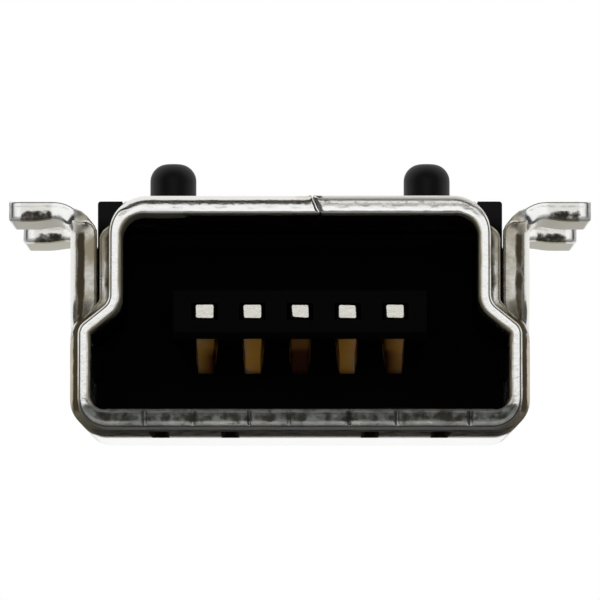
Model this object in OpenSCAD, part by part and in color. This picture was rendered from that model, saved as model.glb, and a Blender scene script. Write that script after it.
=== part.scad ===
// A small five-contact data receptacle for a printed circuit board, lying on its wide face.
// X runs across the mouth, Y from the mouth to the solder tails, and Z from the wide face
// to the face that meets the board. One folded sheet, one moulding and five contact strips.

/* [Overall] */
// Length from the front lip to the ends of the solder tails
over_length = 9.2; // [9.0:0.05:10]
// Height from the wide face to the face that meets the board
board_h = 3.84; // [3.7:0.02:4.3]

/* [Mouth] */
// Inner width of the wide half of the mouth
mouth_w = 6.95; // [6.8:0.01:7.1]
// How much each side of the mouth steps inwards on the board side
mouth_step = 0.515; // [0.4:0.005:0.65]
// Height at which the outside of the lip starts to slant inwards
step_low_z = 1.66; // [1.4:0.02:1.8]
// Height at which the slant ends in the narrow half
step_high_z = 2.08; // [1.9:0.02:2.4]

/* [Folded sheet] */
// Thickness of the sheet
sheet_t = 0.3; // [0.22:0.01:0.34]
// Thickness of the lip's sides, which are drawn thinner than the sheet
lip_side_t = 0.2; // [0.14:0.01:0.26]
// Length of the lip in front of the flange
lip_len = 1.2; // [0.8:0.05:1.5]
// Thickness of the flange behind the lip
flange_t = 0.2; // [0.12:0.01:0.3]
// How far each side wall stands outside the lip
side_step = 0.175; // [0.15:0.005:0.3]
// How far the flange stays inside the housing's shoulders
flange_inset = 0.03; // [0:0.01:0.1]
// How far the top of the flange stays below the board side
flange_drop = 0.24; // [0.1:0.02:0.5]
// Height of the side walls between the legs
wall_top_z = 2.1; // [1.95:0.05:2.6]
// Length of the wide face and the side walls
shell_len = 8.9; // [8.9:0.05:9.2]
// Depth reached by the two flaps on the board side
flap_len = 4.3; // [3.6:0.05:4.6]
// Outer radius of the corners beside the wide face
wide_corner_r = 0.5; // [0.4:0.02:0.6]
// Outer radius of the lip's corners on the board side
board_corner_r = 0.63; // [0.4:0.01:0.7]
// Outer radius of the two bends of the slanted step
step_corner_r = 0.25; // [0.1:0.01:0.3]

/* [Legs] */
// How far each solder tab reaches out from its side wall
tab_reach = 1.03; // [0.85:0.01:1.6]
// Width of each leg and its solder tab, along the shell
leg_w = 2.0; // [1.6:0.05:2.2]
// Distance from a front leg to the rear leg behind it
leg_pitch = 5.5; // [4.8:0.05:5.5]
// Inner radius of the bend between leg and tab
tab_bend_r = 0.28; // [0.1:0.02:0.35]

/* [Seam] */
// Width of the slit between the two flaps
seam_gap = 0.04; // [0.02:0.01:0.08]
// Sideways place of the seam at the mouth
seam_x = 0.27; // [-0.4:0.01:0.4]
// How far the dovetail reaches past the seam
dovetail_reach = 0.5; // [0.3:0.05:0.8]
// Width of the dovetail at its neck
dovetail_neck = 0.9; // [0.6:0.05:1.2]
// Extra width on each side of the dovetail's head
dovetail_flare = 0.18; // [0.1:0.02:0.3]

/* [Retention fingers] */
// Width of each finger in the wide face
finger_w = 1.0; // [0.6:0.05:1.3]
// Length of each finger from root to tip
finger_len = 2.6; // [2.0:0.1:3.0]
// Slot left round each finger
finger_gap = 0.2; // [0.12:0.02:0.3]
// How far a finger rises into the mouth
finger_rise = 0.14; // [0.05:0.01:0.3]
// Length of the straight root before a finger rises
finger_root_len = 0.65; // [0.4:0.05:0.8]
// Length of the tip that dips again
finger_tip_len = 0.65; // [0.4:0.05:0.8]
// How far the end of a finger stays above the wide face
finger_tip_rise = 0.05; // [0:0.01:0.05]
// Radius of a finger's bends, at mid-thickness
finger_bend_r = 0.6; // [0.3:0.1:0.8]
// Distance between the two fingers
finger_pitch = 3.6; // [3.2:0.1:4.2]
// Depth of the fingers' roots behind the lip
finger_root_y = 4.9; // [4.7:0.05:5.0]

/* [Housing] */
// Air between the housing's shoulders and the legs
shoulder_air = 0.16; // [0.08:0.01:0.24]
// Depth of the mouth behind the front lip
mouth_depth = 5.2; // [5.1:0.05:5.6]
// Depth of the housing's rear face
housing_rear_y = 8.75; // [8.6:0.05:8.85]
// Clearance between parts that are pushed together
fit_gap = 0.02; // [0.01:0.005:0.04]
// Radius of the moulding's long outer edges
moulding_edge_r = 0.05; // [0.02:0.01:0.1]
// Width of the snap nub that holds the housing in each side wall
nub_w = 0.9; // [0.5:0.05:1.2]
// Height of the snap nub
nub_h = 0.6; // [0.3:0.05:0.8]

/* [Pegs] */
// Radius of the two locating pegs
peg_r = 0.4; // [0.3:0.01:0.45]
// Height of the pegs above the board side
peg_h = 0.92; // [0.7:0.02:1.4]
// Distance between the pegs
peg_pitch = 4.4; // [4:0.05:4.6]
// Depth of the pegs behind the front lip
peg_y = 5.15; // [5.05:0.05:6]
// Radius of the rounding on top of a peg
peg_round_r = 0.3; // [0.1:0.02:0.3]

/* [Tongue] */
// Width of the tongue
tongue_w = 4.25; // [4.1:0.05:4.6]
// Height of the tongue's lower face
tongue_low_z = 1.55; // [1.4:0.01:1.65]
// Height of the tongue's upper face
tongue_top_z = 2.45; // [2.35:0.01:2.6]
// Depth of the tongue's front face
tongue_front_y = 1.5; // [1.4:0.05:1.8]
// Thickness of the nose that closes the grooves in front
nose_t = 0.32; // [0.2:0.02:0.36]
// Chamfer round the tongue's front
tongue_chamfer = 0.1; // [0.04:0.01:0.15]

/* [Contacts] */
// Distance between neighbouring contacts
contact_pitch = 0.8; // [0.75:0.01:0.85]
// Width of a contact
contact_w = 0.4; // [0.3:0.01:0.42]
// Thickness of a contact
contact_t = 0.24; // [0.15:0.01:0.26]
// Height of a contact's tip, at mid-thickness
tip_z = 2.0; // [1.96:0.01:2.06]
// Length of the straight tip
tip_len = 0.5; // [0.4:0.02:0.6]
// Depth of the point where the contact touches the plug
touch_y = 3.0; // [2.8:0.05:3.2]
// Height of that point, at mid-thickness
touch_z = 1.08; // [1.0:0.02:1.4]
// Depth at which the contact levels out again
level_y = 4.65; // [4.4:0.05:4.9]
// Height of the level run, at mid-thickness
level_z = 1.9; // [1.85:0.01:2.0]
// Depth of the upright run behind the housing, at mid-thickness
riser_y = 8.35; // [8.1:0.05:8.4]
// Radius of the contact's bends, at mid-thickness
contact_bend_r = 0.3; // [0.2:0.02:0.4]

/* [Hidden] */

// One contact node for each place on the tongue
contact_count = 5;
// Straight pieces in each rounded corner
arc_steps = 10;
// Facets of the pegs' circles
round_fn = 48;
// Overlap of shapes that are fused or cut
eps = 0.05;

lip_w = mouth_w + 2 * lip_side_t;
mouth_narrow_w = mouth_w - 2 * mouth_step;
lip_narrow_w = lip_w - 2 * mouth_step;
side_w = lip_w + 2 * side_step;
flange_y = lip_len;
body_y = lip_len + flange_t;
side_mid_x = side_w / 2 - sheet_t / 2;
wall_in_x = side_w / 2 - sheet_t;
shoulder_w = 2 * (wall_in_x - shoulder_air);
flange_narrow_w = shoulder_w - 2 * flange_inset;
roof_low_z = board_h - sheet_t;
tip_y = tongue_front_y + fit_gap;

// The slant of the step, as seen from the front
step_rise = step_high_z - step_low_z;
step_slope = step_rise / mouth_step;
step_slant = norm([mouth_step, step_rise]);
// How much lower the inside of the step lies, so that its sheet keeps the thickness of the sides
step_drop = lip_side_t * (step_slant - step_rise) / mouth_step;

// Unit vector from point a to point b
function heading(a, b) = (b - a) / norm(b - a);
// The direction v turned a quarter turn to the left
function left_of(v) = [-v[1], v[0]];
// The direction v turned by an angle
function turned(v, angle) = v * cos(angle) + left_of(v) * sin(angle);
// Angle turned at b on the way from a to c, positive to the left
function turn_at(a, b, c) =
    let (u = heading(a, b), v = heading(b, c)) atan2(u[0] * v[1] - u[1] * v[0], u * v);
// Points and headings along the arc of radius r that rounds corner b
function bend_at(a, b, c, r) =
    let (
        u = heading(a, b),
        turn = turn_at(a, b, c),
        centre = b - u * r * tan(abs(turn) / 2) + left_of(u) * sign(turn) * r
    )
    [for (i = [0 : arc_steps])
        let (v = turned(u, turn * i / arc_steps)) [centre - left_of(v) * sign(turn) * r, v]];
// A closed outline through corners [x, y, radius]
function rounded(corners) =
    let (n = len(corners), at = function (i) [corners[(i + n) % n][0], corners[(i + n) % n][1]])
    [for (i = [0 : n - 1]) each
        [for (b = bend_at(at(i - 1), at(i), at(i + 1), corners[i][2])) b[0]]];
// Points and headings along an open path whose inner corners are rounded with radius r
function smooth_path(p, r) =
    let (n = len(p))
    concat(
        [[p[0], heading(p[0], p[1])]],
        [for (i = [1 : n - 2]) each bend_at(p[i - 1], p[i], p[i + 1], r)],
        [[p[n - 1], heading(p[n - 2], p[n - 1])]]
    );
// Outline of a strip of thickness t that follows such a path
function strip_outline(p, r, t) =
    let (q = smooth_path(p, r), n = len(q))
    concat(
        [for (i = [0 : n - 1]) q[i][0] + left_of(q[i][1]) * t / 2],
        [for (i = [n - 1 : -1 : 0]) q[i][0] - left_of(q[i][1]) * t / 2]
    );
// The same outline mirrored in X, listed the other way round
function both_sides(half) =
    concat(half, [for (i = [len(half) - 1 : -1 : 0]) [-half[i][0], half[i][1], half[i][2]]]);

// Puts the middle of the overall length at Y = 0
module placed() translate([0, -over_length / 2, 0]) children();
// Extrudes a front view from depth y0 to depth y1
module along_y(y0, y1)
    translate([0, y1, 0]) rotate([90, 0, 0]) linear_extrude(y1 - y0) children();
// Extrudes a side view by a width, centred on x
module across_x(x, width)
    translate([x - width / 2, 0, 0]) rotate([90, 0, 90]) linear_extrude(width) children();
// A box between two corners
module block(low, high) translate(low) cube(high - low);
// The shape and its mirror image
module mirrored() {
    children();
    mirror([1, 0, 0]) children();
}

// Front view of the mouth's outside
module lip_outline() polygon(rounded(both_sides([
    [lip_w / 2, 0, wide_corner_r],
    [lip_w / 2, step_low_z, step_corner_r],
    [lip_narrow_w / 2, step_high_z, step_corner_r],
    [lip_narrow_w / 2, board_h, board_corner_r]
])));
// Front view of the mouth's opening
module mouth_outline() polygon(rounded(both_sides([
    [mouth_w / 2, sheet_t, wide_corner_r - lip_side_t],
    [mouth_w / 2, step_low_z - step_drop, step_corner_r],
    [mouth_narrow_w / 2, step_high_z - step_drop, step_corner_r],
    [mouth_narrow_w / 2, roof_low_z, board_corner_r - sheet_t]
])));
// Front view of the flange, which reaches out to the side walls and tapers into the lip's top corners
module flange_outline() polygon(rounded(both_sides([
    [side_w / 2, 0, wide_corner_r],
    [side_w / 2, step_low_z - step_drop, step_corner_r],
    [flange_narrow_w / 2, step_high_z + lip_side_t, step_corner_r],
    [flange_narrow_w / 2, board_h - flange_drop, board_corner_r]
])));

// The seam between the flaps, with the dovetail that locks them
module seam()
    translate([0, 0, roof_low_z - eps])
        linear_extrude(sheet_t + 2 * eps)
            let (mid = (body_y + flap_len) / 2, neck = dovetail_neck / 2, head = neck + dovetail_flare)
            polygon(strip_outline([
                [seam_x, -eps],
                [seam_x, mid - neck],
                [seam_x - dovetail_reach, mid - head],
                [seam_x - dovetail_reach, mid + head],
                [seam_x, mid + neck],
                [seam_x, flap_len + eps]
            ], seam_gap, seam_gap));

// One leg, which rises from the side wall and bends out to its solder tab
module leg(y0)
    along_y(y0, y0 + leg_w)
        polygon(strip_outline([
            [side_mid_x, wide_corner_r],
            [side_mid_x, board_h - sheet_t / 2],
            [side_w / 2 + tab_reach, board_h - sheet_t / 2]
        ], tab_bend_r + sheet_t / 2, sheet_t));

// Slot round one retention finger
module finger_slot()
    block([finger_pitch / 2 - finger_w / 2 - finger_gap, finger_root_y - finger_len - finger_gap, -eps],
        [finger_pitch / 2 + finger_w / 2 + finger_gap, finger_root_y, sheet_t + eps]);
// One retention finger, which leaves the wide face at its root and dips again at its tip
module finger()
    across_x(finger_pitch / 2, finger_w)
        polygon(strip_outline([
            [finger_root_y + eps, sheet_t / 2],
            [finger_root_y - finger_root_len, sheet_t / 2],
            [finger_root_y - finger_len + finger_tip_len, sheet_t / 2 + finger_rise],
            [finger_root_y - finger_len, sheet_t / 2 + finger_tip_rise]
        ], finger_bend_r, sheet_t));

// Place of the snap nubs in the side walls
nub_y = (body_y + leg_pitch + body_y + leg_w) / 2;
nub_z = (wide_corner_r + wall_top_z) / 2;

// The folded sheet
module shell() color("silver") placed() {
    difference() {
        union() {
            along_y(0, flange_y + eps) lip_outline();
            along_y(flange_y, body_y) flange_outline();
            along_y(flange_y, shell_len)
                polygon(strip_outline([
                    [-side_mid_x, wall_top_z],
                    [-side_mid_x, sheet_t / 2],
                    [side_mid_x, sheet_t / 2],
                    [side_mid_x, wall_top_z]
                ], wide_corner_r - sheet_t / 2, sheet_t));
            block([-mouth_narrow_w / 2, flange_y, roof_low_z], [mouth_narrow_w / 2, flap_len, board_h]);
            mirrored() {
                leg(body_y);
                leg(body_y + leg_pitch);
            }
        }
        along_y(-eps, body_y + eps) mouth_outline();
        seam();
        mirrored() finger_slot();
        mirrored() block([wall_in_x - eps, nub_y - nub_w / 2, nub_z - nub_h / 2],
            [side_w / 2 + eps, nub_y + nub_w / 2, nub_z + nub_h / 2]);
    }
    mirrored() finger();
}

// Front view of the rear block, which fills the shell behind the mouth
module block_outline()
    let (wide_x = wall_in_x - fit_gap, corner_r = wide_corner_r - sheet_t)
    polygon(rounded(both_sides([
        [wide_x, sheet_t + fit_gap, corner_r],
        [wide_x, step_low_z, step_corner_r / 2],
        [shoulder_w / 2, wall_top_z, step_corner_r / 2],
        [shoulder_w / 2, board_h, moulding_edge_r]
    ])));
// Front view of the space that the mouth leaves for the plug, a little wider than the lip
module plug_space()
    let (wide_x = wall_in_x + eps, narrow_x = mouth_narrow_w / 2 + fit_gap, z = step_high_z - step_drop)
    polygon([
        [wide_x, sheet_t - eps],
        [wide_x, z - (wide_x - narrow_x) * step_slope],
        [narrow_x, z],
        [narrow_x, board_h + eps],
        [-narrow_x, board_h + eps],
        [-narrow_x, z],
        [-wide_x, z - (wide_x - narrow_x) * step_slope],
        [-wide_x, sheet_t - eps]
    ]);
// One locating peg with a rounded top
module peg()
    translate([peg_pitch / 2, peg_y, board_h])
        rotate_extrude($fn = round_fn)
            polygon(concat(
                [[0, -eps], [peg_r, -eps]],
                [for (i = [0 : arc_steps])
                    let (a = 90 * i / arc_steps)
                    [peg_r - peg_round_r, peg_h - peg_round_r] + peg_round_r * [cos(a), sin(a)]],
                [[0, peg_h]]
            ));

// Side view of a contact from front_y: tip, touch point, level run, riser and solder tail
function contact_path(front_y) = [
    [front_y, tip_z],
    [tip_y + tip_len, tip_z],
    [touch_y, touch_z],
    [level_y, level_z],
    [riser_y, level_z],
    [riser_y, board_h - contact_t / 2],
    [over_length, board_h - contact_t / 2]
];
// The contact's strip, made wider and thicker by a clearance where it is cut out of the housing
module contact_strip(x, front_y, clearance)
    across_x(x, contact_w + 2 * clearance)
        polygon(strip_outline(contact_path(front_y), contact_bend_r, contact_t + 2 * clearance));
function contact_x(i) = (i - (contact_count + 1) / 2) * contact_pitch;

// The moulding
module housing() color("#151515") placed() {
    difference() {
        union() {
            // shoulders, roof and rear block
            difference() {
                along_y(body_y + fit_gap, housing_rear_y) block_outline();
                along_y(body_y, flap_len + fit_gap) plug_space();
                along_y(flap_len, mouth_depth) intersection() {
                    plug_space();
                    translate([-side_w / 2, 0]) square([side_w, roof_low_z]);
                }
            }
            // tongue
            across_x(0, tongue_w)
                polygon([
                    [mouth_depth + eps, tongue_low_z],
                    [tongue_front_y + tongue_chamfer, tongue_low_z],
                    [tongue_front_y, tongue_low_z + tongue_chamfer],
                    [tongue_front_y, tongue_top_z - tongue_chamfer],
                    [tongue_front_y + tongue_chamfer, tongue_top_z],
                    [mouth_depth + eps, tongue_top_z]
                ]);
            mirrored() peg();
            mirrored() block([wall_in_x - 2 * eps, nub_y - nub_w / 2 + fit_gap, nub_z - nub_h / 2 + fit_gap],
                [side_w / 2 - eps, nub_y + nub_w / 2 - fit_gap, nub_z + nub_h / 2 - fit_gap]);
        }
        for (i = [1 : contact_count]) {
            // passage for the contact, from the nose to the riser
            contact_strip(contact_x(i), tongue_front_y - eps, fit_gap);
            // groove under the tongue
            block([contact_x(i) - contact_w / 2 - 2 * fit_gap, tongue_front_y + nose_t, tongue_low_z - eps],
                [contact_x(i) + contact_w / 2 + 2 * fit_gap, mouth_depth, tip_z + contact_t / 2 + fit_gap]);
            // slot behind the riser, open to the rear
            block([contact_x(i) - contact_w / 2 - fit_gap, riser_y, level_z - contact_t / 2 - fit_gap],
                [contact_x(i) + contact_w / 2 + fit_gap, housing_rear_y + eps, board_h + eps]);
        }
    }
}

// One contact strip
module contact(i) color("goldenrod") placed() contact_strip(contact_x(i), tip_y, 0);

shell();
housing();
contact(1);  // contact_1
contact(2);  // contact_2
contact(3);  // contact_3
contact(4);  // contact_4
contact(5);  // contact_5
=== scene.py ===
"""Small board receptacle: a plated sheet-metal shell round a black moulding with five gold contacts.

The file follows the part as it is put together: the photographer's table, the folded sheet, the moulding,
the contacts. Sizes are in millimetres and turn into metres where a mesh is made.
"""
import math
import bpy
import numpy as np
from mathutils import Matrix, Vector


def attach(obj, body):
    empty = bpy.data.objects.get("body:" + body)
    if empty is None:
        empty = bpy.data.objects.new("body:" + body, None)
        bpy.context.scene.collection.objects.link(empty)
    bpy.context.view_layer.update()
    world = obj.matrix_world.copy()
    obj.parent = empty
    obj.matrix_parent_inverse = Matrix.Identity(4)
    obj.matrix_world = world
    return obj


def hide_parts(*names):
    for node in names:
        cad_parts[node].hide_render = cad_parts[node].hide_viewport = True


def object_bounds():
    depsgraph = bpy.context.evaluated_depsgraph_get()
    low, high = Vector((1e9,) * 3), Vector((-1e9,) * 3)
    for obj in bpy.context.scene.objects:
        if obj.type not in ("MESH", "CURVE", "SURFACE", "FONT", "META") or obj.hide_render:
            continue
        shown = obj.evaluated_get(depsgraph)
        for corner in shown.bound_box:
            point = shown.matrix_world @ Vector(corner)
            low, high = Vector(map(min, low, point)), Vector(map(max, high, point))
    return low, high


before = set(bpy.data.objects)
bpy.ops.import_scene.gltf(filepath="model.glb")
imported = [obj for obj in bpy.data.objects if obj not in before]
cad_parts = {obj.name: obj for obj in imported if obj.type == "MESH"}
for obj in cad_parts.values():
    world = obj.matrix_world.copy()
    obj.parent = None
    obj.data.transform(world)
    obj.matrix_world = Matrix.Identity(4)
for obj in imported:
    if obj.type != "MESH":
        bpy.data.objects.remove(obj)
cad_low, cad_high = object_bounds()
MM = 0.001

# The table and the camera.
# The part lies on its wide face, and the camera looks up into the mouth from a little below that face,
# so the pale table is solid only from above.
DISTANCE = 103.1        # from the lens to the front of the lip
EYE_HEIGHT = -3.879     # of the lens over the wide face
TILT_UP = 3.32          # degrees that the lens looks up
LENS = 374.8
TABLE_DROP = 0.02       # the air under a part that touches at a few high points
front_y = cad_low.y / MM

camera_data = bpy.data.cameras.new("camera")
camera_data.lens = LENS
camera_data.sensor_width = 36
camera_data.clip_start = 0.001
camera_data.clip_end = 10
camera = bpy.data.objects.new("camera", camera_data)
camera.location = (0, (front_y - DISTANCE) * MM, EYE_HEIGHT * MM)
camera.rotation_euler = (math.radians(90 + TILT_UP), 0, 0)
bpy.context.scene.collection.objects.link(camera)
bpy.context.scene.camera = camera


def table_paint():
    """White from above, see-through from below, where the camera stands, and white in reflections, apart from a painted
    shadow: up to 4.9 mm behind the lip's front the table glows only faintly there.
    """
    paint = bpy.data.materials.new("table_paint")
    paint.use_nodes = True
    nodes, links = paint.node_tree.nodes, paint.node_tree.links
    nodes.clear()
    out = nodes.new("ShaderNodeOutputMaterial")
    white = nodes.new("ShaderNodeBsdfDiffuse")
    white.inputs["Color"].default_value = (0.9, 0.9, 0.9, 1)
    clear = nodes.new("ShaderNodeBsdfTransparent")
    side = nodes.new("ShaderNodeNewGeometry")
    pick = nodes.new("ShaderNodeMixShader")
    links.new(side.outputs["Backfacing"], pick.inputs["Fac"])
    glow = nodes.new("ShaderNodeEmission")
    where = nodes.new("ShaderNodeTexCoord")
    apart = nodes.new("ShaderNodeSeparateXYZ")
    # painted shadow: in reflections the table glows at 0.08 up to 4.9 mm behind the lip's front and fully from 5.4 mm,
    # so the underside mirrors a dark band
    behind = nodes.new("ShaderNodeMapRange")
    behind.inputs["From Min"].default_value = (front_y + 4.9) * MM
    behind.inputs["From Max"].default_value = (front_y + 5.4) * MM
    behind.inputs["To Min"].default_value = 0.08
    links.new(where.outputs["Object"], apart.inputs[0])
    links.new(apart.outputs["Y"], behind.inputs["Value"])
    links.new(behind.outputs[0], glow.inputs["Strength"])
    ray = nodes.new("ShaderNodeLightPath")
    top = nodes.new("ShaderNodeMixShader")
    links.new(ray.outputs["Is Glossy Ray"], top.inputs["Fac"])
    links.new(white.outputs[0], top.inputs[1])
    links.new(glow.outputs[0], top.inputs[2])
    links.new(top.outputs[0], pick.inputs[1])
    links.new(clear.outputs[0], pick.inputs[2])
    links.new(pick.outputs[0], out.inputs["Surface"])
    return paint


table_mesh = bpy.data.meshes.new("table")
reach = 0.5
drop = -TABLE_DROP * MM
table_mesh.from_pydata([(-reach, -reach, drop), (reach, -reach, drop), (reach, reach, drop), (-reach, reach, drop)],
                       [], [(0, 1, 2, 3)])
table_mesh.materials.append(table_paint())
table = bpy.data.objects.new("table", table_mesh)
bpy.context.scene.collection.objects.link(table)

world = bpy.data.worlds.new("studio")
world.use_nodes = True
bpy.context.scene.world = world
w_nodes, w_links = world.node_tree.nodes, world.node_tree.links
backdrop = w_nodes["Background"]
backdrop.inputs["Color"].default_value = (1, 1, 1, 1)
# A white tent with the dark room in its opening: mirror-like metal sees the lens's own soft ring straight ahead,
# the dark opening round it and white from the side on. The camera sees plain white everywhere.
way = w_nodes.new("ShaderNodeTexCoord")
apart = w_nodes.new("ShaderNodeVectorMath")
apart.operation = "DOT_PRODUCT"
apart.inputs[1].default_value = (0, -1, 0)
w_links.new(way.outputs["Generated"], apart.inputs[0])
tent = w_nodes.new("ShaderNodeValToRGB")
tent.color_ramp.interpolation = "EASE"
steps = ((0.0, 1.0), (math.cos(math.radians(74)), 0.95), (math.cos(math.radians(66)), 0.03),
         (math.cos(math.radians(30)), 0.03), (math.cos(math.radians(20)), 0.9), (1.0, 1.0))
while len(tent.color_ramp.elements) < len(steps):
    tent.color_ramp.elements.new(0.5)
for element, (at, white) in zip(tent.color_ramp.elements, steps):
    element.position = at
    element.color = (white, white, white, 1)
w_links.new(apart.outputs["Value"], tent.inputs["Fac"])
ray = w_nodes.new("ShaderNodeLightPath")
plain = w_nodes.new("ShaderNodeMath")
plain.operation = "MAXIMUM"
w_links.new(ray.outputs["Is Camera Ray"], plain.inputs[0])
w_links.new(ray.outputs["Is Transmission Ray"], plain.inputs[1])
lit = w_nodes.new("ShaderNodeMix")
lit.inputs["A"].default_value = 0.6
w_links.new(ray.outputs["Is Glossy Ray"], lit.inputs["Factor"])
w_links.new(tent.outputs["Color"], lit.inputs["B"])
strength = w_nodes.new("ShaderNodeMix")
strength.inputs["B"].default_value = 1.0
w_links.new(plain.outputs[0], strength.inputs["Factor"])
w_links.new(lit.outputs["Result"], strength.inputs["A"])
w_links.new(strength.outputs["Result"], backdrop.inputs["Strength"])

for name, place, size, power in (("key", (-0.06, -0.05, 0.2), 0.12, 0.35), ("fill", (0.16, -0.04, 0.08), 0.1, 0.15)):
    lamp_data = bpy.data.lights.new(name, "AREA")
    lamp_data.size = size
    lamp_data.energy = power
    lamp = bpy.data.objects.new(name, lamp_data)
    lamp.location = place
    direction = -np.array(place)
    lamp.rotation_euler = (math.acos(direction[2] / np.linalg.norm(direction)) , 0,
                           math.atan2(direction[1], direction[0]) + math.pi / 2)
    bpy.context.scene.collection.objects.link(lamp)

# The folded sheet.
# The real one is a single blank of tin-plated strip, punched and folded round the moulding: a drawn lip round the
# mouth, side walls with two legs each, and two flaps that meet on the board side in a dovetail.
SHEET = 0.3             # the strip's own thickness
LIP_SIDE = 0.2          # what the drawing leaves of it on the sides of the lip
ROLL = 0.055            # rounding on the side where the punch went in
BURR = 0.03             # rounding on the side where it came out
SEAM = 0.008            # each flap's share of the gap between them
LEGS = ((1.4, 3.4), (6.9, 8.9))         # depths of the front and the rear pair
FINGER = (1.3, 2.3, 2.3, 4.9)           # a retention finger's sides, tip and root
SLOT = (1.1, 2.5, 2.1)                  # sides and front of the slot round it
WINDOW = (4.68, 5.62, 0.98, 1.62)       # depths and heights of the hole for the moulding's snap nub

NICKS = (-2.57, -1.77, -0.84, -0.18, 0.81, 1.6, 2.81)   # across the wide face, where the punch has chipped its edge


def stations(marks, gap):
    """Numbers from the first mark to the last: every mark is kept, and no step is longer than the gap."""
    runs = [np.linspace(a, b, math.ceil(abs(b - a) / gap - 1e-9), endpoint=False) for a, b in zip(marks, marks[1:])]
    return np.append(np.concatenate(runs), marks[-1])


def ease(t):
    """The smooth step 3t^2 - 2t^3, held between 0 and 1."""
    t = np.clip(t, 0, 1)
    return t * t * (3 - 2 * t)


def level(value, low, high):
    """The smooth step from 0 at low to 1 at high, or the other way round where low is the larger."""
    return ease((value - low) / (high - low))


def ripple(points, cell, seed):
    """Slow waves between about -1 and 1: the mean of nine sines along random directions, doubled."""
    dice = np.random.default_rng(seed)
    heading = dice.normal(size=(3, 9))
    heading /= np.linalg.norm(heading, axis=0) * cell * dice.uniform(0.6, 1.6, 9) / (2 * math.pi)
    return 2 * np.sin(points @ heading + dice.uniform(0, 2 * math.pi, 9)).mean(axis=1)


def cells(rows, columns, keep):
    """Corner numbers of the kept cells of a grid, in the order that faces them away from the part."""
    i, j = np.nonzero(keep)
    first = i * columns + j
    return np.stack((first, first + 1, first + columns + 1, first + columns), axis=1)


# Depths behind the front of the lip. The sheet steps out between 1.05 and 1.4.
depth = np.concatenate(([0], stations([0.2, 1.0], 0.1)[:-1], stations([1.0, 1.3], 0.025), (1.4, 1.5),
                        stations([1.58, 1.72], 0.02)[:-1], stations([1.72, 2.1, 2.3, 3.4, 4.68, 4.9, 5.62, 6.9, 8.9], 0.1)))
between = (depth[1:] + depth[:-1]) / 2
joggle = ease((depth - 1.05) / 0.35)


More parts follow.
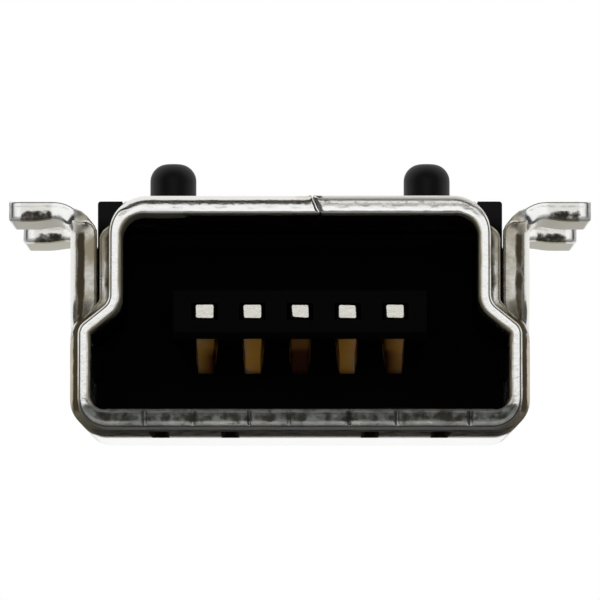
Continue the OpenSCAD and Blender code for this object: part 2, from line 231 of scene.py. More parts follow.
def wall_half():
    """The wide face, side wall and legs of one side, as (x, depth, height), cells and thickness.

    Along u the front view runs from the middle of the wide face round the corner, up the wall and out along the
    tab. Along v it blends from the lip's section to the body's by the smooth step of (depth - 1.05) / 0.35.
    """
    beside_nick = (np.abs(NICKS)[:, None] * 3.35 / 3.175 + (-0.035, 0, 0.035)).ravel()
    flat = np.unique(np.round(np.append(stations([0, 1.1, 1.3, 2.3, 2.5, 3.35], 0.08), beside_nick), 4))
    turn = np.radians(np.linspace(0, 90, 13)[1:])
    side = stations([0.5, 0.98, 1.54], 0.1)[1:]
    above = stations([1.54, 1.62, 2.1, 3.26], 0.1)[1:]
    tab_turn = np.radians(np.linspace(0, 90, 13)[1:])
    tab = stations([4.13, 4.88], 0.08)[1:]
    body_x = np.concatenate((flat, 3.35 + 0.35 * np.sin(turn), 3.70 + 0 * side, 3.70 + 0 * above,
                             4.13 - 0.43 * np.cos(tab_turn), tab))
    height = np.concatenate((0.15 + 0 * flat, 0.5 - 0.35 * np.cos(turn), side, above,
                             3.26 + 0.43 * np.sin(tab_turn), 3.69 + 0 * tab))
    lip_r = 0.35 + 0.05 * turn / turn[-1]
    lip_x, lip_z, lip_t = body_x.copy(), height.copy(), np.full(len(height), LIP_SIDE)
    n = len(flat)
    lip_x[:n] = flat * 3.175 / 3.35
    lip_x[n:n + 12], lip_z[n:n + 12] = 3.175 + lip_r * np.sin(turn), 0.5 - lip_r * np.cos(turn)
    lip_x[n + 12:n + 12 + len(side)] = 3.575
    lip_t[:n] = SHEET
    lip_t[n:n + 12] = SHEET - (SHEET - LIP_SIDE) * turn / turn[-1]

    w = joggle[None, :]
    x = lip_x[:, None] * (1 - w) + body_x[:, None] * w
    z = lip_z[:, None] * (1 - w) + height[:, None] * w
    t = lip_t[:, None] * (1 - w) + SHEET * w
    d = np.broadcast_to(depth, x.shape).copy()
    on_finger = (np.abs(x - 1.8) < 0.51) & (d > 2.29) & (d < 4.9)
    z = z + on_finger * (0.14 * ease((4.25 - d) / 1.3) - 0.09 * ease((2.95 - d) / 0.65))
    # above the step the wall starts as a narrow front plate, which bends back into the wall behind a round corner
    lean = np.zeros(len(height))
    lean[-len(tab) - 12:] = np.append(tab_turn, 0 * tab + math.pi / 2)
    plate = (level(height, 1.54, 2.15) * level(lean, 0.95, 0.1))[:, None] * (d > 1.39)
    run = d - 1.4
    around = np.clip((run - 0.18) / 0.14, 0, 1) * math.pi / 2
    inwards = 0.30 - np.minimum(run, 0.21) - 0.09 * np.sin(around)
    inwards = np.where(run < 0.18, 0.30 - run * 0.21 / 0.18, inwards)
    front = 1.32 + 0.09 * (1 - np.cos(around)) + np.clip(run - 0.32, 0, None)
    front = np.where(run < 1.2, front + np.clip(run - 0.32, 0, 0.88) * 0.31 / 0.88, d)
    x = x - plate * inwards * np.cos(lean)[:, None]
    z = z + plate * inwards * np.sin(lean)[:, None]
    d = d * (1 - plate) + front * plate
    t = t - 0.08 * plate * level(run, 0.34, 0.18)
    # the tabs' outer corners are slightly rounded, by drawing the ends of the last rows together
    for front, rear in LEGS:
        mid, half = (front + rear) / 2, (rear - front) / 2
        drawn_in = 0.03 * (np.clip(x - 4.7, 0, 1) / 0.18) ** 2
        d = np.where((x > 4.7) & (np.abs(d - mid) < half + 0.01), mid + (d - mid) * (1 - drawn_in), d)

    up = np.arange(len(height) - 1)[:, None]
    mid_z = ((height[1:] + height[:-1]) / 2)[:, None]
    mid_x = ((body_x[1:] + body_x[:-1]) / 2)[:, None]
    mid_d = between[None, :]
    wall = (up >= n + 11) & (up < n + 12 + len(side) + len(above) - 1)
    keep = (mid_z < 1.54) | (mid_d > 1.4)
    keep &= (mid_z < 2.1) | (mid_d > LEGS[0][0]) & (mid_d < LEGS[0][1]) | (mid_d > LEGS[1][0])
    keep &= ~(wall & (mid_d > WINDOW[0]) & (mid_d < WINDOW[1]) & (mid_z > WINDOW[2]) & (mid_z < WINDOW[3]))
    under = (up < n - 1) & (mid_x > SLOT[0]) & (mid_x < SLOT[1]) & (mid_d > SLOT[2]) & (mid_d < FINGER[3])
    keep &= ~(under & ~((mid_x > FINGER[0]) & (mid_x < FINGER[1]) & (mid_d > FINGER[2])))
    swollen = level(x, 4.1, 4.5) * (z > 3.5)
    return np.stack((x, d, z - 0.02 * swollen), axis=-1), cells(*x.shape, keep), t + 0.04 * swollen


def flange_half():
    """The side of the lip from the wall's height of 1.54 to the middle of its upper corner, with the flange behind.

    Along u the front view runs up the lip, over the slanted step and into the corner. Along v each row is a mix of
    three sections (depth, reach outwards): the wall's joggle, a flange bent square outwards, and a plain edge.
    """
    lean = math.radians(50.8)
    bend = np.linspace(0, lean, 8)
    low = np.stack((3.425 + 0.15 * np.cos(bend), 1.54 + 0.15 * np.sin(bend)), axis=1)
    high = np.stack((3.41 - 0.35 * np.cos(bend[::-1]), 2.197 - 0.35 * np.sin(bend[::-1])), axis=1)
    share = np.linspace(0, 1, 6)[1:-1, None]
    slant = low[-1] * (1 - share) + high[0] * share
    rise = stations([2.197, 3.21], 0.08)[1:]
    straight = np.stack((3.06 + 0 * rise, rise), axis=1)
    corner = np.radians(np.linspace(0, 45, 10))[1:]
    radius = 0.53 - 0.05 * corner / math.radians(90)
    arc = np.stack((2.53 + radius * np.cos(corner), 3.21 + radius * np.sin(corner)), axis=1)
    path = np.concatenate((low, slant, high, straight, arc))
    angle = np.concatenate((bend, lean + 0 * share[:, 0], bend[::-1], 0 * rise, corner))
    away = np.stack((np.cos(angle), np.sin(angle)), axis=1)
    thick = LIP_SIDE + (SHEET - LIP_SIDE) * np.concatenate((np.zeros(len(path) - 9), corner / math.radians(90)))

    v = depth[depth < 1.41]
    quarter = np.clip((v - 1.2) / 0.1, 0, 1) * math.pi / 2
    joggle_section = np.stack((v, 0.125 * ease((v - 1.05) / 0.35)), axis=1)
    flange_section = np.stack((np.where(v < 1.2, v * 1.18 / 1.2, 1.18 + 0.12 * np.sin(quarter)),
                               0.12 - 0.12 * np.cos(quarter) + np.clip(v - 1.3, 0, 1) * 1.8), axis=1)
    plain_section = np.stack((np.minimum(v, 1.2 + 0.4 * np.clip(v - 1.2, 0, 1)), 0 * v), axis=1)
    i = np.arange(len(path))
    at_flange = ease((i - 1) / (len(low) + len(slant) + 1))[:, None, None]
    at_plain = ease((angle * (path[:, 1] > 3) / math.radians(38)))[:, None, None]
    section = (joggle_section * (1 - at_flange) + flange_section * at_flange) * (1 - at_plain) + plain_section * at_plain
    x = path[:, None, 0] + away[:, None, 0] * section[..., 1]
    z = path[:, None, 1] + away[:, None, 1] * section[..., 1]
    return np.stack((x, section[..., 0], z), axis=-1), cells(*x.shape, np.ones((len(path) - 1, len(v) - 1), bool)), \
        np.broadcast_to(thick[:, None], x.shape)


def flap(side):
    """One of the two flaps of the roof, on side 1 or -1, with the seam between them.

    Along u the front view runs from the middle of one upper corner to the other. Behind the lip the corner flattens
    into a plate by the smooth step of (depth - 1.2) / 0.22. Rows between x -0.23 and 0.27 tilt to the dovetail's flare.
    """
    corner = np.radians(np.linspace(45, 90, 10))
    radius = 0.53 - 0.05 * corner / math.radians(90)
    arc_x, arc_z = 2.53 + radius * np.cos(corner), 3.21 + radius * np.sin(corner)
    flat = stations([2.53, 0.77, 0.27, -0.23, -0.73, -2.53], 0.09)[1:-1]
    lip_x = np.concatenate((arc_x, flat, -arc_x[::-1]))
    lip_z = np.concatenate((arc_z, 3.69 + 0 * flat, arc_z[::-1]))
    beside = np.append(2.96, np.linspace(2.88, 2.53, 9))
    plate_x = np.concatenate((beside, flat, -beside[::-1]))
    thick = SHEET - (SHEET - LIP_SIDE) * np.concatenate((1 - corner / corner[-1], 0 * flat, (1 - corner / corner[-1])[::-1]))
    v = np.concatenate((depth[depth < 1.31], stations([1.4, 2.4, 3.3, 4.3], 0.1)))
    flatten = ease((v - 1.2) / 0.22)[None, :]
    x = lip_x[:, None] * (1 - flatten) + plate_x[:, None] * flatten
    z = lip_z[:, None] * (1 - flatten) + 3.69 * flatten
    t = thick[:, None] * (1 - flatten) + SHEET * flatten
    near = np.clip(1 - np.abs(plate_x + 0.23) / 0.5, 0, 1)[:, None]
    flare = np.interp(v, (1.4, 2.4, 3.3, 4.3), (0, -0.18, 0.18, 0))[None, :]
    d = v[None, :] + near * flare

    mid_x, mid_v = ((plate_x[1:] + plate_x[:-1]) / 2)[:, None], ((v[1:] + v[:-1]) / 2)[None, :]
    tail = (mid_x > -0.23) & (mid_x < 0.27) & (mid_v > 2.4) & (mid_v < 3.3)
    keep = (mid_x > 0.27) | tail if side > 0 else (mid_x < 0.27) & ~tail
    return np.stack((x, d, z), axis=-1), cells(*x.shape, keep), t


def joined_sheet():
    """All grids as one surface: equal points become one, except across the seam, and unused ones go."""
    points, quads, thick, bank = [], [], [], []
    count = 0
    for number, (grid, cell, t) in enumerate((wall_half(), flange_half(), flap(1), flap(-1))):
        for mirror in ((1, -1) if number < 2 else (1,)):
            flat = grid.reshape(-1, 3) * (mirror, 1, 1)
            points.append(flat)
            quads.append((cell if mirror > 0 else cell[:, ::-1]) + count)
            thick.append(np.ravel(t))
            bank.append(np.full(len(flat), 0.0 if number < 3 else 1.0) * (np.abs(flat[:, 0]) < 1) )
            count += len(flat)
    points, quads = np.concatenate(points), np.concatenate(quads)
    key = np.column_stack((np.round(points, 4), np.concatenate(bank)))
    _, first, number = np.unique(key, axis=0, return_index=True, return_inverse=True)
    quads = number.ravel()[quads]
    used, quads = np.unique(quads, return_inverse=True)
    first = first[used]
    return points[first], quads.reshape(-1, 4), np.concatenate(thick)[first]


def solid_sheet(points, quads, thick):
    """A closed sheet round the middle surface: both faces, and a rim along every cut edge.

    The faces are the points moved by half the thickness along the normal. At a cut edge they draw in, and the rim
    between them is a quarter round of the punch side, the flat break, and a quarter round of the burr side.
    Also gives each point its place across the strip, 0 to 1, and how much it belongs to a cut edge.
    """
    facing = np.cross(points[quads[:, 2]] - points[quads[:, 0]], points[quads[:, 3]] - points[quads[:, 1]])
    normal = np.zeros_like(points)
    for corner in range(4):
        np.add.at(normal, quads[:, corner], facing)
    normal /= np.linalg.norm(normal, axis=1, keepdims=True)
    facing /= np.linalg.norm(facing, axis=1, keepdims=True)
    start, end = quads.ravel(), np.roll(quads, -1, axis=1).ravel()
    n = len(points)
    open_edge = ~np.isin(start * n + end, end * n + start)
    a, b = start[open_edge], end[open_edge]
    along = points[b] - points[a]
    along /= np.linalg.norm(along, axis=1, keepdims=True)
    outward = np.cross(along, facing[np.repeat(np.arange(len(quads)), 4)[open_edge]])
    leaving, arriving = np.zeros_like(points), np.zeros_like(points)
    leaving[a], arriving[b] = outward, outward
    mitre = (leaving + arriving) / np.maximum(0.2, 1 + (leaving * arriving).sum(axis=1, keepdims=True))
    edge = np.unique(a)
    # the two flaps draw back from the seam
    seam = (points[:, 0] > -0.3) & (points[:, 0] < 0.35) & (points[:, 2] > 3.6) & (points[:, 1] < 4.29)
    seam_edge = edge[seam[edge]]
    points = points.copy()
    points[seam_edge] -= mitre[seam_edge] * SEAM * ((points[seam_edge][:, 1] > 0.01)[:, None] * (0, 1, 1) + (1, 0, 0))

    half = (thick / 2)[:, None] * normal
    outer, inner = points + half, points - half
    # the punch drew the front edge of the left flap in further, and that of the wide face less
    x, d, z = points[edge].T[:, :, None]
    broad = (d < 0.01) * (level(z, 3.5, 3.65) * (0.45 + 0.55 * level(x, 0.35, 0.2)) - 0.2 * level(z, 0.45, 0.2))
    beside_seam = (seam[edge] & (np.abs(mitre[edge][:, 0]) > 0.05))[:, None]
    roll = np.where(beside_seam, 0.03, ROLL + 0.12 * broad)
    outer[edge] -= mitre[edge] * roll
    inner[edge] -= mitre[edge] * BURR
    round_a = np.radians(np.linspace(0, 90, 8)[1:])
    round_b = np.radians(np.linspace(90, 0, 4)[:-1])
    t = thick[edge][:, None]
    share = np.linspace(0, 1, 6)[1:-1]
    across = np.concatenate((roll * (1 - np.cos(round_a)), roll + share * (t - roll - BURR),
                             t - BURR * (1 - np.cos(round_b)) + 0 * t), axis=1)
    reach = np.concatenate((-roll * (1 - np.sin(round_a)), 0 * share + 0 * t, -BURR * (1 - np.sin(round_b)) + 0 * t),
                           axis=1)
    base = points[edge][:, None, :]
    torn = ease((across / t - 0.42) / 0.2) * ease((0.9 - across / t) / 0.1)
    where = (base + mitre[edge][:, None, :] * reach[..., None] + normal[edge][:, None, :] * (t / 2 - across)[..., None])
    rough = ripple(where.reshape(-1, 3), 0.11, 5).reshape(across.shape)
    straight = level(z, 0.5, 0.3) + 0.35 * level(z, 3.3, 3.6)
    reach -= straight * torn * (0.008 + 0.008 * np.maximum(rough, -1))
    nick = np.clip(1 - np.abs(x - np.array(NICKS)) / 0.032, 0, 1).max(axis=-1, keepdims=True)
    reach -= 0.03 * (nick * (d < 0.01) * (z < 0.3)).reshape(-1, 1) * ease(across / t / 0.3)
    rim = base + mitre[edge][:, None, :] * reach[..., None] + normal[edge][:, None, :] * (t / 2 - across)[..., None]

    # the ends of the flaps meet at a slant
    for part in (outer, inner, rim):
        part[..., 0] += 0.5 * (3.69 - part[..., 2]) * level(np.abs(part[..., 0] - 0.27), 0.3, 0.0) * (part[..., 2] > 3.5)
    rows = across.shape[1]
    place = np.full(n, -1)
    place[edge] = np.arange(len(edge))
    ladder = np.concatenate((edge[:, None], 2 * n + place[edge][:, None] * rows + np.arange(rows), n + edge[:, None]), axis=1)
    left, right = ladder[place[a]], ladder[place[b]]
    rim_quads = np.stack((left[:, :-1], left[:, 1:], right[:, 1:], right[:, :-1]), axis=-1).reshape(-1, 4)
    every = np.concatenate((outer, inner, rim.reshape(-1, 3)))
    faces = np.concatenate((quads, quads[:, ::-1] + n, rim_quads))
    place_across = np.concatenate((np.zeros(n), np.ones(n), (across / t).ravel()))
    near_cut = np.zeros(2 * n)
    near_cut[np.concatenate((edge, edge + n))] = 0.5
    return every, faces, place_across, np.concatenate((near_cut, np.ones(across.size)))


def new_piece(name, points, faces, attributes):
    """A mesh object from points in millimetres as (x, depth, height), riding on the part's one body."""
    mesh = bpy.data.meshes.new(name)
    mesh.from_pydata(((points + (0, front_y, 0)) * MM).tolist(), [], faces)
    for label, values in attributes.items():
        mesh.attributes.new(label, "FLOAT", "POINT").data.foreach_set("value", values.astype(np.float32))
    mesh.polygons.foreach_set("use_smooth", np.ones(len(mesh.polygons), bool))
    mesh.update()
    piece = bpy.data.objects.new(name, mesh)
    bpy.context.scene.collection.objects.link(piece)
    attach(piece, "root")
    return piece



def aged(points, across, cut):
    """How the tin looks at each point: bare break, brown stain, painted shade and burnish, each from 0 to 1; the stain
    and the matte also carry painted shade, and the burnish painted highlights.
    """
    x, d, z = points[:, 0], points[:, 1], points[:, 2]
    side = np.abs(x)
    slow, fine = ripple(points, 1.1, 11), ripple(points, 0.35, 12)
    on_edge = level(cut, 0.4, 0.9)
    lip_edge = level(d, 0.25, 0.1) * on_edge
    wide_edge = lip_edge * level(z, 0.45, 0.3)
    roof_edge = lip_edge * level(z, 3.4, 3.6)
    upright_edge = lip_edge - wide_edge - roof_edge
    tab_edge = on_edge * level(side, 4.05, 4.2) * (z > 3.4)

    bare = wide_edge * (0.12 + 0.45 * level(across, 0.3, 0.45) * level(across, 0.85, 0.65) + 0.2 * fine)
    bare += roof_edge * level(across, 0.18, 0.3) * level(across, 0.62, 0.5) * (0.42 - 0.16 * level(x, 0.2, 0.4))
    bare += 0.66 * tab_edge * level(across, 0.02, 0.1) * level(across, 0.56, 0.42) * level(side, 4.12, 4.22) * level(side, 4.72, 4.62)
    bare += on_edge * level(np.abs(x - 0.27), 0.1, 0.03) * (z > 3.5) * (d > 0.02)

    inside = level(across, 0.8, 0.98) * (d < 1.5)
    narrow = level(z, 1.6, 2.2)
    stain_and_shade = (0.5 + 0.5 * narrow) * inside * level(d, 0.7, 0.2) + 0.35 * level(slow, 0.1, 1.2)
    # painted shadow: brown on the underside of the wide face from 0.9 to 5.1 mm behind the lip
    stain_and_shade += 0.9 * level(z, 0.35, 0.1) * level(d, 0.9, 1.35) * level(d, 5.1, 4.4)
    stain_and_shade += 0.9 * roof_edge * level(across, 0.7, 0.85) * level(np.abs(x + 2.3), 0.6, 0.25)
    stain_and_shade += 0.5 * level(side, 3.2, 3.5) * level(z, 0.9, 0.3) * level(d, 0.2, 0.9)
    stain_and_shade += 0.55 * level(d, 1.16, 1.2) * level(d, 1.6, 1.4) * (z > 1.6) * (side > 3.2) * level(side, 3.8, 3.73)
    stain_and_shade += 0.4 * upright_edge * (level(across, 0.25, 0.1) + level(across, 0.62, 0.8))
    # painted shade: the tabs' undersides and the lower parts of their cut edges, more on the rear tabs
    stain_and_shade += 0.55 * level(side, 3.9, 4.1) * (z > 3.4) * level(across, 0.3, 0.0)
    stain_and_shade += 0.9 * level(side, 3.9, 4.05) * (z > 3.3) * (across < 0.01) * (d > 4)
    out = np.minimum(side - 3.16, 0.632 * (side - 3.16) + 0.775 * (z - 2.08))
    fold = level(side, 3.76, 3.7) * level(d, 1.1, 1.18) * level(d, 1.45, 1.4) * (z > 1.6) * (z < 3.7)
    fold *= level(out, 0.09 + 0.07 * level(z, 2.6, 2.2), 0.02 + 0.07 * level(z, 2.6, 2.2))
    # painted shade: the joggle's step below a height of 1.6
    stain_and_shade += 0.7 * level(d, 1.18, 1.24) * level(d, 1.6, 1.36) * (z < 1.6) * (side > 3.1) * level(across, 0.3, 0.1)
    # painted shade: dark brown in the concave fillet of the fold at the flange
    painted_shade = 0.9 * fold * level(across, 0.5, 0.1)
    # painted shadow: the underside of the wide face from 1.0 to 4.9 mm behind the lip
    painted_shade += 0.45 * level(z, 0.35, 0.1) * level(d, 1.0, 1.35) * level(d, 4.9, 3.4) * level(across, 0.5, 0.1)
    # painted shade: a dark band down the round corner of each leg's front plate, and on the joggle's step below it
    corner = level(side, 3.6, 3.64) * level(side, 3.76, 3.72) * level(d, 1.6, 1.5) * (z > 1.7) * (z < 3.3)
    step = level(side, 3.66, 3.69) * level(side, 3.82, 3.77) * level(d, 1.08, 1.15) * level(d, 1.6, 1.45) * (z < 1.7)
    painted_shade += ((0.77 + 0.18 * (x < 0)) * corner + 0.95 * step * level(z, 0.15, 0.4)) * level(across, 0.5, 0.1)
    # painted shadow: the cut edges under the wide face from 1.5 to 5 mm, round the finger slots
    painted_shade += 0.9 * on_edge * (z < 0.4) * (d > 1.5) * (d < 5)
    # painted shade: the lip's inner face within 0.35 mm of the front, stronger low down than above a height of 2.2
    painted_shade += (0.55 - 0.45 * narrow) * inside * level(d, 0.35, 0.02)
    burnish_and_highlight = upright_edge * level(across, 0.1, 0.25) * level(across, 0.8, 0.6)
    burnish_and_highlight += roof_edge * level(across, 0.5, 0.65) + 0.25 * wide_edge * level(across, 0.2, 0.06)
    # painted highlight: the cut edges along the tabs' bends and at the tabs' ends
    burnish_and_highlight += on_edge * (z > 3.3) * (0.75 * level(side, 3.6, 3.8) * level(side, 4.25, 4.1) + 0.9 * level(side, 4.64, 4.7))
    # painted reflection: the underside of the wide face brighter from 4.6 mm behind the lip
    burnish_and_highlight += (z < 0.05) * level(d, 3.8, 4.6)
    # the front cut edge of the wide face is darker grey and rougher than the lip's other edges
    dull = wide_edge * (0.95 - 0.4 * level(across, 0.36, 0.26))
    matte_and_shade = 0.95 * (z > 1.7) * (d > 1.3) * (side > 3.3) * level(side, 3.8, 3.7) * level(d, 1.7, 1.5)
    # painted shade: the tabs' undersides and the lower parts of their cut edges
    matte_and_shade += 0.9 * level(side, 3.9, 4.05) * (z > 3.3) * (on_edge * level(across, 0.3, 0.1) + (across < 0.01))
    matte_and_shade += 0.9 * (across > 0.9) * narrow * level(d, 1.3, 1.0) * level(x, -1.7, -2.2)
    satin = 0.95 * roof_edge * level(across, 0.34, 0.2) * level(x, 0.2, 0.4)
    satin += 0.8 * (z > 3.3) * (level(side, 4.79, 4.82) + level(side, 3.6, 3.68) * level(side, 3.84, 3.76) * (d < 1.75))
    marks = {"dull": dull, "matte_and_shade": matte_and_shade, "satin": satin, "bare": bare, "stain_and_shade": stain_and_shade, "painted_shade": painted_shade, "burnish_and_highlight": burnish_and_highlight}
    return {name: np.clip(value, 0, 1) for name, value in marks.items()}


def speckle_group():
    """A mask that breaks an even level into patches: smooth step of level + (noise - 0.5) x spread round 0.5."""
    group = bpy.data.node_groups.new("speckle", "ShaderNodeTree")
    for name, kind, value in (("Vector", "NodeSocketVector", None), ("Level", "NodeSocketFloat", 0.5),
                              ("Scale", "NodeSocketFloat", 1000.0), ("Spread", "NodeSocketFloat", 1.0),
                              ("Softness", "NodeSocketFloat", 0.2)):
        socket = group.interface.new_socket(name=name, in_out="INPUT", socket_type=kind)
        if value is not None:
            socket.default_value = value
    group.interface.new_socket(name="Mask", in_out="OUTPUT", socket_type="NodeSocketFloat")
    nodes, links = group.nodes, group.links
    given, result = nodes.new("NodeGroupInput"), nodes.new("NodeGroupOutput")
    noise = nodes.new("ShaderNodeTexNoise")
    noise.inputs["Detail"].default_value = 5
    noise.inputs["Roughness"].default_value = 0.6
    centred = nodes.new("ShaderNodeMath")
    centred.operation = "SUBTRACT"
    centred.inputs[1].default_value = 0.5
    raised = nodes.new("ShaderNodeMath")
    raised.operation = "MULTIPLY_ADD"
    low, high = nodes.new("ShaderNodeMath"), nodes.new("ShaderNodeMath")
    low.operation, high.operation = "SUBTRACT", "ADD"
    low.inputs[0].default_value = high.inputs[0].default_value = 0.5
    step = nodes.new("ShaderNodeMapRange")
    step.interpolation_type = "SMOOTHSTEP"
    links.new(given.outputs["Vector"], noise.inputs["Vector"])
    links.new(given.outputs["Scale"], noise.inputs["Scale"])
    links.new(noise.outputs["Fac"], centred.inputs[0])
    links.new(centred.outputs[0], raised.inputs[0])
    links.new(given.outputs["Spread"], raised.inputs[1])
    links.new(given.outputs["Level"], raised.inputs[2])
    links.new(given.outputs["Softness"], low.inputs[1])
    links.new(given.outputs["Softness"], high.inputs[1])
    links.new(raised.outputs[0], step.inputs["Value"])
    links.new(low.outputs[0], step.inputs["From Min"])
    links.new(high.outputs[0], step.inputs["From Max"])
    links.new(step.outputs[0], result.inputs["Mask"])
    return group


speckle = speckle_group()


def tin_plate():
    """Bright tin, stained brown, with painted shade where it is sheltered and painted highlights on some edges, and
    torn grey breaks on the cut edges.
    """
    paint = bpy.data.materials.new("tin_plate")
    paint.use_nodes = True
    nodes, links = paint.node_tree.nodes, paint.node_tree.links
    shader = nodes["Principled BSDF"]
    place = nodes.new("ShaderNodeTexCoord").outputs["Object"]

    def mask(name, scale, spread, softness):
        """The speckled form of one of the sheet's own levels."""
        amount = nodes.new("ShaderNodeAttribute")
        amount.attribute_name = name
        patch = nodes.new("ShaderNodeGroup")
        patch.node_tree = speckle
        links.new(place, patch.inputs["Vector"])
        links.new(amount.outputs["Fac"], patch.inputs["Level"])
        patch.inputs["Scale"].default_value = scale
        patch.inputs["Spread"].default_value = spread
        patch.inputs["Softness"].default_value = softness
        return patch.outputs["Mask"]

    def over(below, colour, amount):
        """One colour laid over another by a mask."""
        mix = nodes.new("ShaderNodeMix")
        mix.data_type = "RGBA"
        links.new(amount, mix.inputs["Factor"])
        if isinstance(below, tuple):
            mix.inputs["A"].default_value = below
        else:
            links.new(below, mix.inputs["A"])
        mix.inputs["B"].default_value = colour
        return mix.outputs["Result"]

    def blend(below, value, amount):
        """One number laid over another by a mask."""
        mix = nodes.new("ShaderNodeMix")
        links.new(amount, mix.inputs["Factor"])
        if isinstance(below, float):
            mix.inputs["A"].default_value = below
        else:
            links.new(below, mix.inputs["A"])
        mix.inputs["B"].default_value = value
        return mix.outputs["Result"]

    stain_and_shade = mask("stain_and_shade", 1500, 1.4, 0.3)
    painted_shade = mask("painted_shade", 3500, 1.2, 0.3)
    bare = mask("bare", 7000, 1.5, 0.25)
    dull = mask("dull", 2500, 0.7, 0.3)
    matte_and_shade = mask("matte_and_shade", 2500, 1.0, 0.4)
    burnish_and_highlight = mask("burnish_and_highlight", 3000, 0.9, 0.3)
    satin = mask("satin", 2500, 0.6, 0.3)
    # brown stain, which under the wide face, under the tabs and on the joggle's step is painted shade
    colour = over((0.82, 0.81, 0.77, 1), (0.50, 0.44, 0.31, 1), stain_and_shade)
    # matte beige, which on the tabs' undersides is painted shade
    colour = over(colour, (0.44, 0.41, 0.31, 1), matte_and_shade)
    # near-white burnish, which on the tabs' edges and under the wide face is a painted highlight
    colour = over(colour, (0.95, 0.95, 0.93, 1), burnish_and_highlight)
    colour = over(colour, (0.25, 0.26, 0.245, 1), dull)
    colour = over(colour, (0.085, 0.08, 0.065, 1), bare)
    # painted shade: dark brown, rough and not metallic
    colour = over(colour, (0.08, 0.058, 0.03, 1), painted_shade)
    links.new(colour, shader.inputs["Base Color"])
    gloss = blend(0.2, 0.34, stain_and_shade)
    gloss = blend(gloss, 0.16, burnish_and_highlight)
    gloss = blend(gloss, 0.55, satin)
    gloss = blend(gloss, 0.36, dull)
    gloss = blend(gloss, 0.42, matte_and_shade)
    gloss = blend(gloss, 0.5, bare)
    gloss = blend(gloss, 1.0, painted_shade)
    links.new(gloss, shader.inputs["Roughness"])
    metal = blend(1.0, 0.75, stain_and_shade)
    metal = blend(metal, 0.65, matte_and_shade)
    metal = blend(metal, 0.0, painted_shade)
    links.new(metal, shader.inputs["Metallic"])
    grain = nodes.new("ShaderNodeTexNoise")
    links.new(place, grain.inputs["Vector"])
    grain.inputs["Scale"].default_value = 9000
    grain.inputs["Detail"].default_value = 4
    height = blend(0.5, 0.0, bare)
    total = nodes.new("ShaderNodeMath")
    total.operation = "MULTIPLY_ADD"
    links.new(grain.outputs["Fac"], total.inputs[0])
    total.inputs[1].default_value = 0.5
    links.new(height, total.inputs[2])
    bump = nodes.new("ShaderNodeBump")
    bump.inputs["Strength"].default_value = 0.5
    bump.inputs["Distance"].default_value = 0.00001
    links.new(total.outputs[0], bump.inputs["Height"])
    links.new(bump.outputs["Normal"], shader.inputs["Normal"])
    return paint


points, faces, across, cut = solid_sheet(*joined_sheet())
sheet = new_piece("folded_sheet", points, faces.tolist(), aged(points, across, cut))
sheet.data.materials.append(tin_plate())
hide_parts("shell")

# The moulding.
# The real one is a single block of black glass-filled nylon. The folded sheet snaps over its two side nubs, its
# tongue carries the contacts, and its two pegs find the holes in the board.


def black_nylon():
    """Near-black plastic with a fine matt grain and slightly glossier, worn high spots."""
    paint = bpy.data.materials.new("black_nylon")
    paint.use_nodes = True
    nodes, links = paint.node_tree.nodes, paint.node_tree.links
    shader = nodes["Principled BSDF"]
    place = nodes.new("ShaderNodeTexCoord").outputs["Object"]
    apart = nodes.new("ShaderNodeSeparateXYZ")
    links.new(place, apart.inputs[0])
    outside = nodes.new("ShaderNodeMapRange")
    outside.inputs["From Min"].default_value = 3.3 * MM
    outside.inputs["From Max"].default_value = 3.6 * MM
    outside.inputs["To Min"].default_value = 0.05
    outside.inputs["To Max"].default_value = 0.25
    links.new(apart.outputs["Z"], outside.inputs["Value"])
    links.new(outside.outputs[0], shader.inputs["Specular IOR Level"])
    grain = nodes.new("ShaderNodeTexNoise")
    links.new(place, grain.inputs["Vector"])
    grain.inputs["Scale"].default_value = 16000
    grain.inputs["Detail"].default_value = 3
    cloud = nodes.new("ShaderNodeTexNoise")
    links.new(place, cloud.inputs["Vector"])
    cloud.inputs["Scale"].default_value = 900
    cloud.inputs["Detail"].default_value = 4
    colour = nodes.new("ShaderNodeMix")
    colour.data_type = "RGBA"
    colour.inputs["A"].default_value = (0.0012, 0.0012, 0.0012, 1)
    colour.inputs["B"].default_value = (0.004, 0.004, 0.0038, 1)
    links.new(cloud.outputs["Fac"], colour.inputs["Factor"])
    links.new(colour.outputs["Result"], shader.inputs["Base Color"])
    gloss = nodes.new("ShaderNodeMapRange")
    gloss.inputs["To Min"].default_value = 0.38
    gloss.inputs["To Max"].default_value = 0.62
    links.new(cloud.outputs["Fac"], gloss.inputs["Value"])
    links.new(gloss.outputs[0], shader.inputs["Roughness"])
    bump = nodes.new("ShaderNodeBump")
    bump.inputs["Strength"].default_value = 0.35
    bump.inputs["Distance"].default_value = 0.000006
    links.new(grain.outputs["Fac"], bump.inputs["Height"])
    links.new(bump.outputs["Normal"], shader.inputs["Normal"])
    return paint


moulding = bpy.data.objects["housing"]
nylon = black_nylon()
for place in moulding.material_slots:
    place.material = nylon
if not moulding.material_slots:
    moulding.data.materials.append(nylon)
weld = moulding.modifiers.new("weld", "WELD")
weld.merge_threshold = 0.000001
rounding = moulding.modifiers.new("rounding", "BEVEL")
rounding.width = 0.018 * MM
rounding.segments = 2
rounding.limit_method = "ANGLE"
rounding.angle_limit = math.radians(40)

# The contacts.
# Five strips of gold-plated phosphor bronze, 0.24 mm thick. Each is pushed in from behind, dips below the tongue to
# touch the plug, turns up behind the moulding and ends in a solder tail.
STRIP_W, STRIP_T = 0.4, 0.24
PITCH = 0.8
BEND = 0.3
CORNER = 0.035
ROUTE = ((1.52, 2.0), (2.02, 2.0), (3.0, 1.08), (4.65, 1.9), (8.35, 1.9), (8.35, 3.72), (9.2, 3.72))


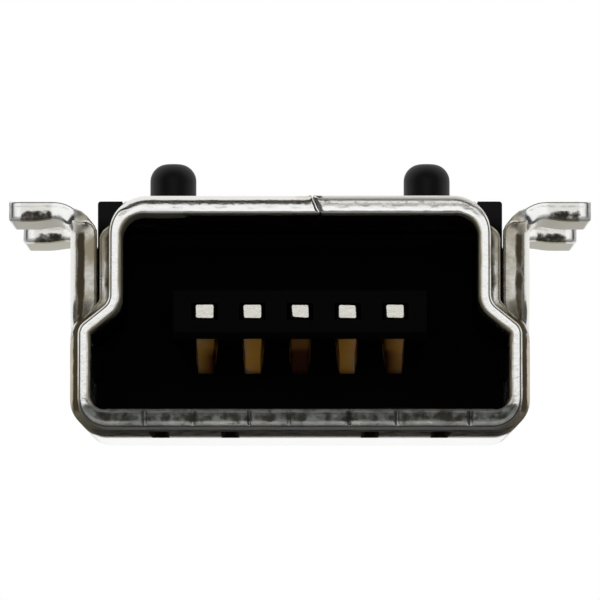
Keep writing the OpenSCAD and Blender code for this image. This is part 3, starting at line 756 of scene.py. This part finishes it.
def bent_route(corners, radius, gap):
    """Points along (depth, height) with every corner rounded, and their headings.

    The arc of a corner starts and ends radius x tan(turn / 2) from it. Straight runs get a point every gap.
    """
    corners = np.array(corners)
    legs = np.diff(corners, axis=0)
    length = np.linalg.norm(legs, axis=1)
    unit = legs / length[:, None]
    turn = np.arctan2(unit[:-1, 0] * unit[1:, 1] - unit[:-1, 1] * unit[1:, 0], (unit[:-1] * unit[1:]).sum(axis=1))
    trim = radius * np.tan(np.abs(turn) / 2)
    points, headings = [], []
    for k in range(len(legs)):
        first, last = (trim[k - 1] if k else 0), (trim[k] if k < len(trim) else 0)
        run = stations([first, length[k] - last], gap)
        points.append(corners[k] + unit[k] * run[:, None])
        headings.append(np.broadcast_to(unit[k], points[-1].shape))
        if k < len(trim):
            angle = np.linspace(0, turn[k], 9)[1:-1]
            start = math.atan2(unit[k, 1], unit[k, 0])
            way = np.sign(turn[k])
            centre = corners[k + 1] - unit[k] * trim[k] + way * radius * np.array((-unit[k, 1], unit[k, 0]))
            points.append(centre + way * radius * np.stack((np.sin(start + angle), -np.cos(start + angle)), axis=1))
            headings.append(np.stack((np.cos(start + angle), np.sin(start + angle)), axis=1))
    return np.concatenate(points), np.concatenate(headings)


def contact_strip(middle):
    """A rectangle with rounded corners carried along the route; both ends draw in by a small radius and close.

    Ring point = route point + across x width + heading turned a quarter x thickness.
    """
    path, heading = bent_route(ROUTE, BEND, 0.12)
    ease_in = np.array((0.0, 0.005, 0.012, 0.03))
    shrink = np.array((0.016, 0.006, 0.001, 0.0))
    nose = path[:1] + heading[:1] * ease_in[:, None]
    tail = path[-1:] - heading[-1:] * ease_in[::-1, None]
    path = np.concatenate((nose, path[1:-1], tail))
    heading = np.concatenate((np.repeat(heading[:1], 4, axis=0), heading[1:-1], np.repeat(heading[-1:], 4, axis=0)))
    inset = np.concatenate((shrink, np.zeros(len(path) - 8), shrink[::-1]))
    quarter = np.radians(np.linspace(0, 90, 5))
    corner_x, corner_t = CORNER * np.cos(quarter), CORNER * np.sin(quarter)
    w, t = STRIP_W / 2 - CORNER, STRIP_T / 2 - CORNER
    ring_x = np.concatenate((w + corner_x, -w - corner_x[::-1], -w - corner_x, w + corner_x[::-1]))
    ring_t = np.concatenate((t + corner_t, t + corner_t[::-1], -t - corner_t, -t - corner_t[::-1]))
    narrow = 1 - 0.17 * level(path[:, 0], 4.6, 3.2) - 0.17 * level(np.abs(path[:, 0] - 2.9), 0.7, 0.1)
    side_x = ring_x[None, :] * (narrow[:, None] - inset[:, None] / (STRIP_W / 2))
    side_t = ring_t[None, :] * (1 - inset[:, None] / (STRIP_T / 2))
    left = np.stack((-heading[:, 1], heading[:, 0]), axis=1)
    uneven = 1 + 0.12 * ripple(np.stack((middle + side_x, side_t, 0 * side_t), axis=-1).reshape(-1, 3), 0.25,
                               7).reshape(side_x.shape) * level(path[:, 0], 1.75, 1.6)[:, None]
    side_x, side_t = side_x * (0.93 + 0.07 * level(path[:, 0], 1.6, 1.8))[:, None] * uneven, side_t * uneven
    grid = np.stack((middle + side_x, path[:, :1] + left[:, :1] * side_t, path[:, 1:] + left[:, 1:] * side_t), axis=-1)
    rows, columns = side_x.shape
    number = np.arange(rows * columns).reshape(rows, columns)
    after = np.roll(number, -1, axis=1)
    faces = np.stack((number[:-1], number[1:], after[1:], after[:-1]), axis=-1).reshape(-1, 4)
    return grid.reshape(-1, 3), faces.tolist() + [number[0].tolist(), number[-1][::-1].tolist()]


def gold_plate():
    """Thin gold over bronze: bright on the bare front ends, with a painted highlight along the beams' outer sides,
    browner and duller along the beam.
    """
    paint = bpy.data.materials.new("gold_plate")
    paint.use_nodes = True
    nodes, links = paint.node_tree.nodes, paint.node_tree.links
    shader = nodes["Principled BSDF"]
    place = nodes.new("ShaderNodeTexCoord").outputs["Object"]
    bare_tip_and_highlight = nodes.new("ShaderNodeAttribute")
    bare_tip_and_highlight.attribute_name = "bare_tip_and_highlight"
    patch = nodes.new("ShaderNodeGroup")
    patch.node_tree = speckle
    links.new(place, patch.inputs["Vector"])
    links.new(bare_tip_and_highlight.outputs["Fac"], patch.inputs["Level"])
    patch.inputs["Scale"].default_value = 5000
    patch.inputs["Spread"].default_value = 0.9
    patch.inputs["Softness"].default_value = 0.35
    colour = nodes.new("ShaderNodeMix")
    colour.data_type = "RGBA"
    colour.inputs["A"].default_value = (1.0, 0.5, 0.08, 1)
    # near-white for the bare front ends and for the painted highlight on the beams
    colour.inputs["B"].default_value = (0.95, 0.92, 0.84, 1)
    links.new(patch.outputs["Mask"], colour.inputs["Factor"])
    dark = nodes.new("ShaderNodeAttribute")
    dark.attribute_name = "tarnish_and_shade"
    browned = nodes.new("ShaderNodeMix")
    browned.data_type = "RGBA"
    # near-black brown for tarnish and for painted shade
    browned.inputs["B"].default_value = (0.07, 0.012, 0.002, 1)
    links.new(dark.outputs["Fac"], browned.inputs["Factor"])
    links.new(colour.outputs["Result"], browned.inputs["A"])
    links.new(browned.outputs["Result"], shader.inputs["Base Color"])
    gloss = nodes.new("ShaderNodeMapRange")
    gloss.inputs["To Min"].default_value = 0.62
    gloss.inputs["To Max"].default_value = 0.25
    links.new(patch.outputs["Mask"], gloss.inputs["Value"])
    links.new(gloss.outputs[0], shader.inputs["Roughness"])
    metal = nodes.new("ShaderNodeMapRange")
    metal.inputs["To Min"].default_value = 0.2
    links.new(patch.outputs["Mask"], metal.inputs["Value"])
    links.new(metal.outputs[0], shader.inputs["Metallic"])
    grain = nodes.new("ShaderNodeTexNoise")
    links.new(place, grain.inputs["Vector"])
    grain.inputs["Scale"].default_value = 12000
    bump = nodes.new("ShaderNodeBump")
    bump.inputs["Strength"].default_value = 0.3
    bump.inputs["Distance"].default_value = 0.000006
    links.new(grain.outputs["Fac"], bump.inputs["Height"])
    links.new(bump.outputs["Normal"], shader.inputs["Normal"])
    return paint


gold = gold_plate()
for place in range(5):
    middle = (place - 2) * PITCH
    points, faces = contact_strip(middle)
    tip = level(points[:, 1], 1.7, 1.56)
    # the beams get a painted highlight on their outer sides, and the middle one none
    d = points[:, 1]
    bare_tip_and_highlight = level((points[:, 0] - middle) * np.sign(place - 2), 0.02, 0.14)
    tarnish_and_shade = (0.55, 0.2, 0.78, 0.35, 0.7)[place] * (1 - 0.9 * bare_tip_and_highlight)
    # painted shade: the lower beams of the first, third and fifth contacts, from 2.4 mm to before 3.6 mm
    tarnish_and_shade += 0.6 * (place % 2 == 0) * level(d, 2.4, 2.65) * (1 - 0.7 * bare_tip_and_highlight)
    marks = {"bare_tip_and_highlight": np.maximum(tip, 0.4 * bare_tip_and_highlight * level(d, 3.4, 3.1)),
             "tarnish_and_shade": np.clip(tarnish_and_shade, 0, 1) * level(d, 3.6, 3.3) * (1 - tip)}
    contact = new_piece(f"contact_strip_{place + 1}", points, faces, marks)
    contact.data.polygons[len(faces) - 2].use_smooth = contact.data.polygons[len(faces) - 1].use_smooth = False
    contact.data.materials.append(gold)
    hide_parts(f"contact_{place + 1}")

bpy.context.scene.view_settings.view_transform = "Standard"
